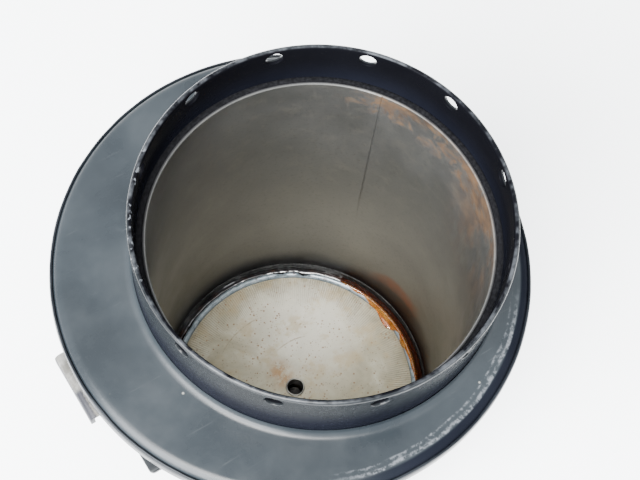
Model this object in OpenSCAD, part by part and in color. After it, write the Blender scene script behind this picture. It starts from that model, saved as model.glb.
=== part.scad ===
// Open canister of a fuel filter: double-walled can, eccentric shoulder with
// a crimped hem, perforated neck, drawn bottom pan, drain screw and bracket.
// Origin: centre of the foot, on the axis of the can. +Z is up, and -X points
// to the wide side of the shoulder, where the bracket is.

/* [Neck] */
// Outer radius of the neck
neck_r = 45; // [44.6:0.1:46]
// Height of the neck's lip above the foot
lip_z = 156; // [152:0.5:160]
// Thickness of the neck's sheet
neck_t = 1.3; // [1.1:0.1:1.3]
// Number of holes below the lip
hole_count = 12; // [4:1:18]
// Diameter of each hole in the neck
hole_d = 4.4; // [2.5:0.1:5]
// Distance from the lip down to the holes' centres
hole_drop = 3.3; // [3:0.1:6]
// Angle of the first hole
hole_phase = 13.6; // [0:0.1:29]

/* [Shoulder] */
// Outer radius of the crimped hem
hem_r = 58.6; // [56.5:0.1:59]
// Distance from the can's axis to the hem's axis, towards the bracket
hem_offset = 6.4; // [5:0.1:7.3]
// Sideways distance from the can's axis to the hem's axis
hem_side = 1.3; // [0:0.1:1.5]
// Height of the shoulder's flat top
shoulder_z = 134.8; // [130:0.1:136]
// Radius of the shoulder's rolled edge
roll_r = 2.8; // [2:0.1:3]
// Radius of the fillet at the foot of the neck
fillet_r = 2; // [1:0.1:2.2]
// Thickness of the shoulder's sheet
sheet_t = 0.9; // [0.7:0.1:1]

/* [Can] */
// Outer radius of the outer shell
shell_r = 43.6; // [43.5:0.05:43.65]
// Inner radius of the bright inner sleeve
sleeve_r = 41.3; // [41:0.1:41.4]
// Thickness of the inner sleeve
sleeve_t = 0.8; // [0.6:0.1:0.8]
// Height of the inner sleeve's top edge
sleeve_top = 142.7; // [138:0.1:146]

/* [Bottom] */
// Outer radius of the pan's rolled edge
pan_r = 39.1; // [38:0.1:39.2]
// Height of the pan's rim
pan_z = 23; // [22:0.1:26]
// Depth of the dish at the pan's centre
dish = 1; // [0.5:0.1:1.5]
// Radius of the drain hole
drain_r = 2.5; // [2:0.1:2.8]
// Radius of the foot ring
foot_r = 36; // [30:0.5:37]

/* [Drain screw] */
// Nominal radius of the drain thread
thread_r = 4; // [3:0.5:4.5]
// Travel of the screw from shut to fully open
drain_travel = 3.75; // [2:0.25:3.75]
// Width across flats of the hexagon head
hex_af = 13; // [12:0.5:14]

/* [Bracket] */
// Distance from the can's axis to the ledge's outer edge
ledge_x = 60.6; // [58:0.1:62]
// Half the width of the ledge
ledge_half_w = 24.5; // [22:0.5:26]
// Distance from the can's axis to the clip's turned-down end
clip_x = 66.5; // [64:0.1:68]
// Half the width of the clip
clip_half_w = 9; // [6:0.5:9]
// Sideways distance from the bracket's middle to the clip's
clip_side = 2.8; // [0:0.1:2.8]
// Height of the ledge's top face
ledge_z = 124.2; // [120:0.1:125]
// Distance between the two bracket bolts
bolt_pitch = 36; // [32:0.5:38]

/* [Hidden] */

$fn = 96;
eps = 0.05;                 // clearance between pressed pieces
arc_steps = 8;              // straight steps in a quarter turn of a profile

neck_swage = 0.1;           // how much smaller the neck is inside the shoulder
fillet_step = 0.04;         // small step where the shoulder's fillet meets the flat
swage_z = shoulder_z + fillet_step + fillet_r + 0.06;
swage_h = 1.1;              // height of the taper between the two radii
hem_t = 0.65;               // thickness of the hem's sheet
hem_lap = 24;               // angle that the hem climbs up the rolled edge
hem_gap = 0.05;             // gap between hem and rolled edge
roll_centre_r = hem_r - roll_r - hem_gap - hem_t;
roll_centre_z = shoulder_z - roll_r;
hem_bottom = roll_centre_z - 4.4;
hem_curl = 3.2;             // width of the hem's curl under the backplate
skirt_bottom = hem_bottom + hem_t + eps;
back_z = skirt_bottom;      // underside of the backplate
back_top = back_z + sheet_t;

sleeve_out = sleeve_r + sleeve_t;
shell_in = sleeve_out + 0.15;
shell_top = sleeve_top - 0.9;
spacer_h = 0.6;
shell_bottom = 16;
bead_r = 1.1;               // radius of the stiffening beads
bead_z = [40, 84];          // heights of the stiffening beads

seat_z = 16.4;              // underside of the pan seat
seat_t = 1.2;
seat_top = seat_z + seat_t;
seat_in_r = 30;
cap_t = 1.2;
floor_gap = 7.25;           // room below the cap for the screw head and its washer
cap_floor = drain_travel + floor_gap;
cap_corner_r = 4.5;
pan_t = 0.9;
edge_w = 1.8;               // width of the pan's rolled edge
seat_wall_in = sleeve_r + 0.1;
seat_wall_top = pan_z + edge_w / 2 + 0.2;
sleeve_bottom = seat_wall_top + 1;
foot_t = 1.6;
foot_flange = 2.4;

boss_r = 7;
boss_flange_r = 11;
boss_bottom = cap_floor - 1 - 2;
boss_flange_t = 2;
gasket_t = 1;
nut_h = 3.4;
nut_af = 19;
eyelet_t = 0.4;
eyelet_flange_r = 6;
thread_gap = 0.06;          // running clearance of the thread
washer_t = 1;
washer_r = 7.2;
head_h = 2.2;
head_top = boss_bottom - washer_t - 2 * 0.05;
head_bottom = head_top - head_h;
screw_top = cap_floor + cap_t + nut_h + 0.6;
duct_r = 1.1;               // radius of the screw's drain duct
bar_r = 0.8;
bar_half = 12;

plate_t = 1.5;
saddle_t = 1.5;
saddle_half_angle = 32;
saddle_h = 26;
gusset_t = 1.6;
gusset_y = 10.5;
gusset_h = 16;
bolt_x = 52.5;
bolt_hole_r = 3.3;
weld_nut_r = 3.05;
weld_nut_af = 10;
weld_nut_h = 5;
clip_t = 1.2;
clip_lip = 3;
rivet_r = 1.5;
rivet_head_r = 2.6;
rivet_x = [50, 55];

// A tube from z0 to z1
module tube(r_out, r_in, z0, z1) {
    translate([0, 0, z0])
        difference() {
            cylinder(h = z1 - z0, r = r_out);
            translate([0, 0, -1]) cylinder(h = z1 - z0 + 2, r = r_in);
        }
}

// A regular hexagonal prism by its width across flats
module hex_prism(af, h) {
    cylinder(h = h, r = af / sqrt(3), $fn = 6);
}

// Points of an arc from angle a0 to a1
function arc(cx, cz, r, a0, a1, n = arc_steps) =
    [for (i = [0:n]) let (a = a0 + (a1 - a0) * i / n) [cx + r * cos(a), cz + r * sin(a)]];

// Moves its children to the hem's own axis
module about_hem() {
    translate([-hem_offset, hem_side, 0]) children();
}

module neck_collar() {
    lip = neck_t / 2;
    color("#1d2126")
        difference() {
            rotate_extrude()
                polygon(concat(
                    [[neck_r - neck_t, back_top + eps], [neck_r - neck_swage, back_top + eps],
                     [neck_r - neck_swage, swage_z - swage_h], [neck_r, swage_z]],
                    arc(neck_r - lip, lip_z - lip, lip, 0, 180)));
            for (i = [0:hole_count - 1])
                rotate([0, 0, hole_phase + i * 360 / hole_count])
                    translate([neck_r - 5, 0, lip_z - hole_drop])
                        rotate([0, 90, 0])
                            cylinder(h = 10, d = hole_d, $fn = 32);
        }
}

module shoulder_plate() {
    inner = roll_r - sheet_t;
    color("#3c444c")
        difference() {
            union() {
                about_hem()
                    rotate_extrude()
                        polygon(concat(
                            [[0, shoulder_z - sheet_t], [0, shoulder_z]],
                            arc(roll_centre_r, roll_centre_z, roll_r, 90, 0),
                            [[roll_centre_r + roll_r, skirt_bottom]],
                            [[roll_centre_r + inner, skirt_bottom]],
                            arc(roll_centre_r, roll_centre_z, inner, 0, 90)));
                shoulder_fillet();
            }
            translate([0, 0, shoulder_z - 20]) cylinder(h = 40, r = neck_r + eps);
        }
}

// The pressed fillet that rises round the foot of the neck
module shoulder_fillet() {
    foot = neck_r + eps + fillet_r;
    top = shoulder_z + fillet_step + fillet_r;
    rotate_extrude()
        polygon(concat(
            [[neck_r - 1, shoulder_z - sheet_t / 2], [foot, shoulder_z - sheet_t / 2]],
            arc(foot, top, fillet_r, 270, 180),
            [[neck_r - 1, top]]));
}

module rim_hem() {
    r_in = roll_r + hem_gap;
    color("#2b3036")
        about_hem()
            rotate_extrude()
                polygon(concat(
                    [[hem_r - hem_curl, hem_bottom], [hem_r, hem_bottom]],
                    arc(roll_centre_r, roll_centre_z, r_in + hem_t, 0, hem_lap),
                    arc(roll_centre_r, roll_centre_z, r_in, hem_lap, 0),
                    [[roll_centre_r + r_in, hem_bottom + hem_t],
                     [hem_r - hem_curl, hem_bottom + hem_t]]));
}

module flange_backplate() {
    up_r = roll_centre_r + roll_r - sheet_t - eps;
    up_top = roll_centre_z - 1;
    color("#24282d")
        difference() {
            about_hem()
                rotate_extrude()
                    polygon([[0, back_z], [up_r, back_z], [up_r, up_top],
                        [up_r - sheet_t, up_top], [up_r - sheet_t, back_top], [0, back_top]]);
            translate([0, 0, back_z - 5]) cylinder(h = 10, r = shell_r + eps);
        }
}

module body_shell() {
    root = shell_r - 0.3;
    color("#23282d") {
        tube(shell_r, shell_in, shell_bottom, shell_top);
        for (z = bead_z)
            rotate_extrude()
                polygon(concat([[root, z - bead_r]], arc(shell_r, z, bead_r, -90, 90),
                    [[root, z + bead_r]]));
    }
}

module inner_sleeve() {
    color("#8d8b80") tube(sleeve_out, sleeve_r, sleeve_bottom, sleeve_top);
}

module sleeve_spacer_ring() {
    color("#17191c")
        tube(neck_r - neck_t - eps, sleeve_out + eps, shell_top + eps, shell_top + eps + spacer_h);
}

module bottom_pan() {
    rim_in = pan_r - edge_w - eps;
    color("#cfcabb")
        difference() {
            rotate_extrude()
                polygon([[0, pan_z - dish - pan_t], [0, pan_z - dish],
                    [rim_in * 0.55, pan_z - dish * 0.8], [rim_in - 3, pan_z - dish * 0.35],
                    [rim_in, pan_z - 0.2], [rim_in, seat_top + eps],
                    [rim_in - pan_t, seat_top + eps], [rim_in - pan_t, pan_z - 0.2 - pan_t],
                    [rim_in - 3, pan_z - dish * 0.35 - pan_t],
                    [rim_in * 0.55, pan_z - dish * 0.8 - pan_t]]);
            translate([0, 0, pan_z - 6]) cylinder(h = 12, r = drain_r + eyelet_t + eps);
        }
}

module pan_edge_ring() {
    color("#8fa0ab")
        rotate_extrude()
            polygon(concat(
                [[pan_r - edge_w, seat_top + eps], [pan_r, seat_top + eps]],
                arc(pan_r - edge_w / 2, pan_z, edge_w / 2, 0, 180)));
}

module pan_seat() {
    color("#5c6063")
        rotate_extrude()
            polygon([[seat_in_r, seat_z], [shell_in - eps, seat_z], [shell_in - eps, seat_wall_top],
                [seat_wall_in, seat_wall_top], [seat_wall_in, seat_top], [seat_in_r, seat_top]]);
}

module groove_sealant() {
    crown = 0.7;            // rise of the bead's middle
    r_in = pan_r + eps;
    r_out = sleeve_r - eps;
    base = seat_top + eps;
    color("#120f10")
        rotate_extrude()
            polygon([[r_in, base], [r_out, base], [r_out, pan_z - 2],
                [(r_in + r_out) / 2, pan_z - 2 + crown], [r_in, pan_z - 2]]);
}

module drain_eyelet() {
    top = pan_z - dish + 0.7;
    under = pan_z - dish - pan_t - eps;
    flange_t = 0.6;
    color("#b9b5a8")
        difference() {
            union() {
                tube(drain_r + eyelet_t, drain_r, seat_top + 0.1, top);
                tube(eyelet_flange_r, drain_r, under - flange_t, under);
            }
            cylinder(h = 40, r = drain_r);
        }
}

module bottom_cap() {
    cr = shell_r - cap_corner_r;
    color("#23282d")
        difference() {
            rotate_extrude()
                polygon(concat(
                    [[0, cap_floor], [cr, cap_floor]],
                    arc(cr, cap_floor + cap_corner_r, cap_corner_r, -90, 0),
                    [[shell_r, shell_bottom - eps], [shell_r - cap_t, shell_bottom - eps]],
                    arc(cr, cap_floor + cap_corner_r, cap_corner_r - cap_t, 0, -90),
                    [[0, cap_floor + cap_t]]));
            translate([0, 0, cap_floor - 5]) cylinder(h = 10, r = boss_r + eps);
        }
}

module body_seam_ring() {
    seam_t = 1;
    color("#2b3036") tube(shell_r + eps + seam_t, shell_r + eps, shell_bottom - 0.8, shell_bottom + 4);
}

module foot_ring() {
    color("#23282d")
        rotate_extrude()
            polygon([[foot_r - foot_t, 0], [foot_r + foot_flange, 0], [foot_r + foot_flange, foot_t],
                [foot_r, foot_t], [foot_r, cap_floor - eps], [foot_r - foot_t, cap_floor - eps]]);
}

module drain_boss() {
    top = cap_floor + cap_t + nut_h + 0.6;
    flange_top = boss_bottom + boss_flange_t;
    color("#9a978e")
        difference() {
            union() {
                translate([0, 0, boss_bottom]) cylinder(h = boss_flange_t, r = boss_flange_r);
                translate([0, 0, boss_bottom]) cylinder(h = top - boss_bottom, r = boss_r);
            }
            translate([0, 0, boss_bottom - 1]) cylinder(h = 40, r = thread_r + thread_gap);
        }
}

module boss_gasket() {
    color("#7b3b22")
        tube(boss_flange_r, boss_r + eps, cap_floor - gasket_t + eps, cap_floor - eps);
}

module boss_locknut() {
    color("#a9a79f")
        translate([0, 0, cap_floor + cap_t + eps])
            difference() {
                hex_prism(nut_af, nut_h);
                translate([0, 0, -1]) cylinder(h = nut_h + 2, r = boss_r + eps);
            }
}

module drain_screw() {
    color("#b2a070")
        difference() {
            union() {
                translate([0, 0, head_bottom]) hex_prism(hex_af, head_h);
                translate([0, 0, head_top - 0.5])
                    cylinder(h = screw_top - thread_r + 0.5 - head_top, r = thread_r);
                translate([0, 0, screw_top - thread_r])
                    rotate_extrude()
                        polygon([[0, -0.5], [thread_r, -0.5], [thread_r, 0],
                            [drain_r - 0.6, thread_r - 0.2], [0, thread_r - 0.2]]);
            }
            translate([0, 0, head_bottom - 1])
                cylinder(h = screw_top - thread_r - head_bottom, r = duct_r);
            translate([-thread_r * 2, 0, screw_top - thread_r - 2])
                rotate([0, 90, 0]) cylinder(h = thread_r * 4, r = duct_r, $fn = 32);
            translate([0, -bar_half, head_bottom + head_h / 2])
                rotate([-90, 0, 0]) cylinder(h = 2 * bar_half, r = bar_r + 0.02, $fn = 32);
        }
}

module drain_washer() {
    color("#b87345")
        tube(washer_r, thread_r + thread_gap, head_top + eps, head_top + eps + washer_t - eps);
}

module drain_tommy_bar() {
    ball_r = 1.05;
    color("#c4c4c0")
        translate([0, 0, head_bottom + head_h / 2]) {
            translate([0, -bar_half, 0]) rotate([-90, 0, 0]) cylinder(h = 2 * bar_half, r = bar_r, $fn = 32);
            for (s = [-1, 1])
                translate([0, s * bar_half, 0]) sphere(r = ball_r, $fn = 32);
        }
}

// A wedge that keeps only the sector within half_angle of -X
module sector(half_angle, r, z0, z1) {
    translate([0, 0, z0])
        linear_extrude(z1 - z0)
            polygon([[0, 0], [-r, -r * tan(half_angle)], [-r, r * tan(half_angle)]]);
}

module bracket_saddle() {
    top = ledge_z - plate_t - eps;
    color("#1d2126")
        intersection() {
            tube(shell_r + eps + saddle_t, shell_r + eps, top - saddle_h, top);
            sector(saddle_half_angle, 60, top - saddle_h - 1, top + 1);
        }
}

module bracket_ledge() {
    color("#2a2e33")
        difference() {
            translate([-ledge_x, -ledge_half_w, ledge_z - plate_t])
                cube([ledge_x - 34, 2 * ledge_half_w, plate_t]);
            translate([0, 0, ledge_z - 10]) cylinder(h = 20, r = shell_r + eps);
            for (s = [-1, 1])
                translate([-bolt_x, s * bolt_pitch / 2, ledge_z - 10])
                    cylinder(h = 20, r = bolt_hole_r);
            for (x = rivet_x)
                translate([-x, 0, ledge_z - 10]) cylinder(h = 20, r = rivet_r + eps, $fn = 32);
        }
}

module bracket_gussets() {
    top = ledge_z - plate_t - eps;
    root = shell_r + eps + saddle_t + eps;
    color("#24282d")
        for (s = [-1, 1])
            translate([0, s * gusset_y + gusset_t / 2, 0])
                rotate([90, 0, 0])
                    linear_extrude(gusset_t)
                        polygon([[-ledge_x + 3, top], [-root, top], [-root, top - gusset_h],
                            [-root - 2, top - gusset_h], [-ledge_x + 3, top - 2]]);
}

module bracket_weld_nuts() {
    color("#6d7073")
        for (s = [-1, 1])
            translate([-bolt_x, s * bolt_pitch / 2, ledge_z - plate_t - eps - weld_nut_h])
                difference() {
                    hex_prism(weld_nut_af, weld_nut_h);
                    translate([0, 0, -1]) cylinder(h = weld_nut_h + 2, r = weld_nut_r);
                }
}

module bracket_clip() {
    z0 = ledge_z + eps;
    x_in = 46.5;
    color("#d5d7d6")
        difference() {
            union() {
                translate([-clip_x, clip_side - clip_half_w, z0])
                    cube([clip_x - x_in, 2 * clip_half_w, clip_t]);
                translate([-clip_x, clip_side - clip_half_w, z0 - clip_lip])
                    cube([clip_t, 2 * clip_half_w, clip_lip + clip_t]);
            }
            for (x = rivet_x)
                translate([-x, 0, z0 - 5]) cylinder(h = 20, r = rivet_r + eps, $fn = 32);
        }
}

module clip_rivets() {
    head_t = 0.8;
    lower = ledge_z - plate_t - eps;
    upper = ledge_z + eps + clip_t + eps;
    color("#9a9c9c")
        for (x = rivet_x)
            translate([-x, 0, 0]) {
                translate([0, 0, lower - head_t]) cylinder(h = head_t, r = rivet_head_r, $fn = 32);
                translate([0, 0, lower - head_t]) cylinder(h = upper - lower + 2 * head_t, r = rivet_r, $fn = 32);
                translate([0, 0, upper]) cylinder(h = head_t, r = rivet_head_r, $fn = 32);
            }
}

neck_collar();
shoulder_plate();
rim_hem();
flange_backplate();
body_shell();
inner_sleeve();
sleeve_spacer_ring();
bottom_pan();
pan_edge_ring();
pan_seat();
groove_sealant();
drain_eyelet();
bottom_cap();
body_seam_ring();
foot_ring();
drain_boss();
boss_gasket();
boss_locknut();
drain_screw();
drain_washer();
drain_tommy_bar();
bracket_saddle();
bracket_ledge();
bracket_gussets();
bracket_weld_nuts();
bracket_clip();
clip_rivets();
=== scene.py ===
import random
from math import asin, atan2, cos, degrees, exp, hypot, pi, radians, sin, sqrt

import bmesh
import bpy
from mathutils import Matrix, Vector, noise


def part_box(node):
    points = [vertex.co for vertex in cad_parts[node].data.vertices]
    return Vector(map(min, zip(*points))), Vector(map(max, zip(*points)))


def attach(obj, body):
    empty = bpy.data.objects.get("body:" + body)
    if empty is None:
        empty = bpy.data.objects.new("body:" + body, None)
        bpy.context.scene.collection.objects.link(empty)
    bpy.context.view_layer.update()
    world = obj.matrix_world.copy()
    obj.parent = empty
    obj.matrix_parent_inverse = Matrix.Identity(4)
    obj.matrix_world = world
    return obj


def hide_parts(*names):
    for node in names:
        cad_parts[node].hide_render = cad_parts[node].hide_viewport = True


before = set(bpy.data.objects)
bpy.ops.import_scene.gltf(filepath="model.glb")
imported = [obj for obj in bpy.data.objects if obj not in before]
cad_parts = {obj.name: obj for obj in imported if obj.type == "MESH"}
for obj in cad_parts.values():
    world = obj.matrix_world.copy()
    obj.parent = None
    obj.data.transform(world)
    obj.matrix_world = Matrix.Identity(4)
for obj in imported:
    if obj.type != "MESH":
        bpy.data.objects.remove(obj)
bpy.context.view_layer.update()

MM = 0.001

# ---------------------------------------------------------------- sizes, mm


def box_mm(node):
    """Lowest and highest corner of a CAD node, in millimetres."""
    low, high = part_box(node)
    return low / MM, high / MM


neck_low, neck_high = box_mm("neck_collar")
hem_low, hem_high = box_mm("rim_hem")
plate_low = box_mm("shoulder_plate")[0]
shell_low, shell_high = box_mm("body_shell")
sleeve_low, sleeve_high = box_mm("inner_sleeve")
spacer_low, spacer_high = box_mm("sleeve_spacer_ring")
pan_high = box_mm("bottom_pan")[1]
edge_low, edge_high = box_mm("pan_edge_ring")
groove_low, groove_high = box_mm("groove_sealant")
seat_low, seat_high = box_mm("pan_seat")
cap_low, cap_high = box_mm("bottom_cap")
seam_low, seam_high = box_mm("body_seam_ring")
foot_low, foot_high = box_mm("foot_ring")
boss_low, boss_high = box_mm("drain_boss")
screw_low, screw_high = box_mm("drain_screw")
bar_low, bar_high = box_mm("drain_tommy_bar")
saddle_low, saddle_high = box_mm("bracket_saddle")
ledge_low, ledge_high = box_mm("bracket_ledge")
clip_low, clip_high = box_mm("bracket_clip")
gusset_low, gusset_high = box_mm("bracket_gussets")
nut_low, nut_high = box_mm("bracket_weld_nuts")
rivet_low, rivet_high = box_mm("clip_rivets")
back_low, back_high = box_mm("flange_backplate")

NECK_R = neck_high.x
NECK_T = 1.3
LIP_Z = neck_high.z
HOLE_COUNT = 12
HOLE_R = 2.2
HOLE_DROP = 3.3
HOLE_PHASE = 13.6
HEM_X = (hem_low.x + hem_high.x) / 2
HEM_Y = (hem_low.y + hem_high.y) / 2
HEM_R = (hem_high.x - hem_low.x) / 2
SHOULDER_Z = hem_high.z + 0.1
ROLL_R = 2.8
HEM_T = 0.65
HEM_LAP = 24
SHEET_T = 0.9
FILLET_R = 2.0
SLEEVE_T = 0.8
SLEEVE_R = sleeve_high.x - SLEEVE_T
SHELL_R = cap_high.x
PAN_R = edge_high.x
EDGE_W = 1.8
DRAIN_R = 2.5
THREAD_PITCH = 1.25
THREAD_BORE = 4.06
STEM_HOLE = 7.05
CAP_T = 1.2
SADDLE_HALF = 32.0
RIVET_XS = (-50.0, -55.0)
NUT_FLATS = 10
PAN_FOLDS = 310

# clearance between sheets that nest, and a profile radius that stands for a hexagon's edge
GAP = 0.05
ON_HEX = 99

ROLL_X = HEM_R - ROLL_R - GAP - HEM_T
ROLL_Z = SHOULDER_Z - ROLL_R
SEAM_ANGLE = 36.4
SHELL_SEAM_ANGLE = 70.0


# ------------------------------------------------------------- mesh helpers


def arc(cx, cz, r, a0, a1, steps=10):
    """Points of an arc from angle a0 to a1, in degrees."""
    angles = [radians(a0 + (a1 - a0) * i / steps) for i in range(steps + 1)]
    return [(cx + r * cos(a), cz + r * sin(a)) for a in angles]


def rounded(points, radius):
    """A closed outline with every corner rounded by about that radius."""
    steps = 4
    out = []
    count = len(points)
    for i, p in enumerate(points):
        here = Vector(p)
        back = Vector(points[i - 1]) - here
        ahead = Vector(points[(i + 1) % count]) - here
        cut = min(radius, back.length / 2.1, ahead.length / 2.1)
        start = here + back.normalized() * cut
        end = here + ahead.normalized() * cut
        for s in range(steps + 1):
            t = s / steps
            q = start * (1 - t) ** 2 + here * 2 * t * (1 - t) + end * t ** 2
            out.append((q.x, q.y))
    return out


def grain(x, y, z, scale, seed=0.0):
    """Smooth noise from -1 to 1 at a point in millimetres."""
    return noise.noise(Vector((x / scale + seed, y / scale - seed, z / scale + 2 * seed)))


def bump_at(angle, centre, width):
    """1 at the centre angle, falling smoothly to 0 beyond the width, in degrees."""
    off = abs((angle - centre + 180) % 360 - 180) / width
    return 0.0 if off >= 1 else 0.5 + 0.5 * cos(pi * off)


def turned(r, angle):
    """(x, y) at a radius and at an angle in degrees."""
    a = radians(angle)
    return r * cos(a), r * sin(a)


def vert(bm, x, y, z):
    """A new vertex at a point in millimetres."""
    return bm.verts.new((x * MM, y * MM, z * MM))


def join_loops(bm, a, b):
    """Faces between two closed loops of vertices."""
    for k in range(len(a)):
        m = (k + 1) % len(a)
        bm.faces.new((a[k], b[k], b[m], a[m]))


def join_rings(bm, rings):
    """Faces between each closed loop and the next, and from the last to the first."""
    for a, b in zip(rings, rings[1:] + rings[:1]):
        join_loops(bm, a, b)


def lathe_into(bm, profile, segs=256, centre=(0.0, 0.0), warp=None):
    """Turns a profile of (r, z) points about a vertical axis. warp(angle, r, z, row) moves a point."""
    rings = []
    for s in range(segs):
        angle = 360 * s / segs
        ring = []
        for row, (r, z) in enumerate(profile):
            if warp:
                r, z = warp(angle, r, z, row)
            x, y = turned(r, angle)
            ring.append(vert(bm, centre[0] + x, centre[1] + y, z))
        rings.append(ring)
    join_rings(bm, rings)


def piece(name, bm, material, node=None, body="body", sharp=35):
    """Makes an object of a bmesh. It rides on a body and stands for a CAD node, which it hides."""
    bmesh.ops.remove_doubles(bm, verts=bm.verts, dist=1e-7)
    bmesh.ops.recalc_face_normals(bm, faces=bm.faces)
    mesh = bpy.data.meshes.new(name)
    bm.to_mesh(mesh)
    bm.free()
    for polygon in mesh.polygons:
        polygon.use_smooth = True
    mesh.set_sharp_from_angle(angle=radians(sharp))
    mesh.materials.append(material)
    obj = bpy.data.objects.new(name, mesh)
    bpy.context.scene.collection.objects.link(obj)
    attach(obj, body)
    if node:
        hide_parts(node)


def lathe(name, profile, material, node, segs=256, centre=(0.0, 0.0), warp=None, body="body", sharp=35):
    """One turned piece."""
    bm = bmesh.new()
    lathe_into(bm, profile, segs, centre, warp)
    piece(name, bm, material, node, body=body, sharp=sharp)


def plate_into(bm, outline, holes, z0, z1, bevel, place=None):
    """A flat plate with rounded edges, from an outline and round holes (x, y, r)."""
    curve = bpy.data.curves.new("plate_outline", "CURVE")
    curve.dimensions = "2D"
    curve.fill_mode = "BOTH"
    curve.extrude = ((z1 - z0) / 2 - bevel) * MM
    curve.bevel_depth = bevel * MM
    curve.bevel_resolution = 2
    curve.offset = -bevel * MM
    loops = [outline]
    for x, y, r in holes:
        loops.append([(x + p[0], y + p[1]) for p in arc(0, 0, r, 360, 360 / 32, 31)])
    for loop in loops:
        spline = curve.splines.new("POLY")
        spline.points.add(len(loop) - 1)
        spline.use_cyclic_u = True
        for point, (x, y) in zip(spline.points, loop):
            point.co = (x * MM, y * MM, 0, 1)
    holder = bpy.data.objects.new("plate_outline", curve)
    bpy.context.scene.collection.objects.link(holder)
    bpy.context.view_layer.update()
    mesh = bpy.data.meshes.new_from_object(holder.evaluated_get(bpy.context.evaluated_depsgraph_get()))
    mesh.transform(Matrix.Translation((0, 0, (z0 + z1) / 2 * MM)))
    if place:
        mesh.transform(place)
    bm.from_mesh(mesh)
    bpy.data.objects.remove(holder)
    bpy.data.curves.remove(curve)
    bpy.data.meshes.remove(mesh)


def bead_into(bm, path, radius, rng):
    """A weld bead along a path of points in millimetres, with the ripples of its passes."""
    ripple, pitch = 0.22, 1.1
    sides = 10
    dense = []
    for a, b in zip(path, path[1:]):
        a, b = Vector(a), Vector(b)
        steps = max(2, int((b - a).length / 0.25))
        dense += [a.lerp(b, i / steps) for i in range(steps)]
    dense.append(Vector(path[-1]))
    rings = []
    run = 0.0
    for i, p in enumerate(dense):
        ahead = dense[min(i + 1, len(dense) - 1)] - dense[max(i - 1, 0)]
        ahead.normalize()
        side = ahead.orthogonal().normalized()
        up = ahead.cross(side)
        run += (p - dense[i - 1]).length if i else 0
        end = min(1.0, 0.35 + min(i, len(dense) - 1 - i) * 0.2)
        wave = 1 + ripple * (abs(sin(pi * run / pitch)) - 0.5) + rng.uniform(-0.05, 0.05)
        r = radius * wave * end
        rings.append([bm.verts.new((p + (side * cos(t) + up * sin(t)) * r) * MM)
                      for t in [2 * pi * k / sides for k in range(sides)]])
    for a, b in zip(rings, rings[1:]):
        join_loops(bm, a, b)
    bm.faces.new(rings[0])
    bm.faces.new(rings[-1])


# --------------------------------------------------------- material helpers


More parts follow.
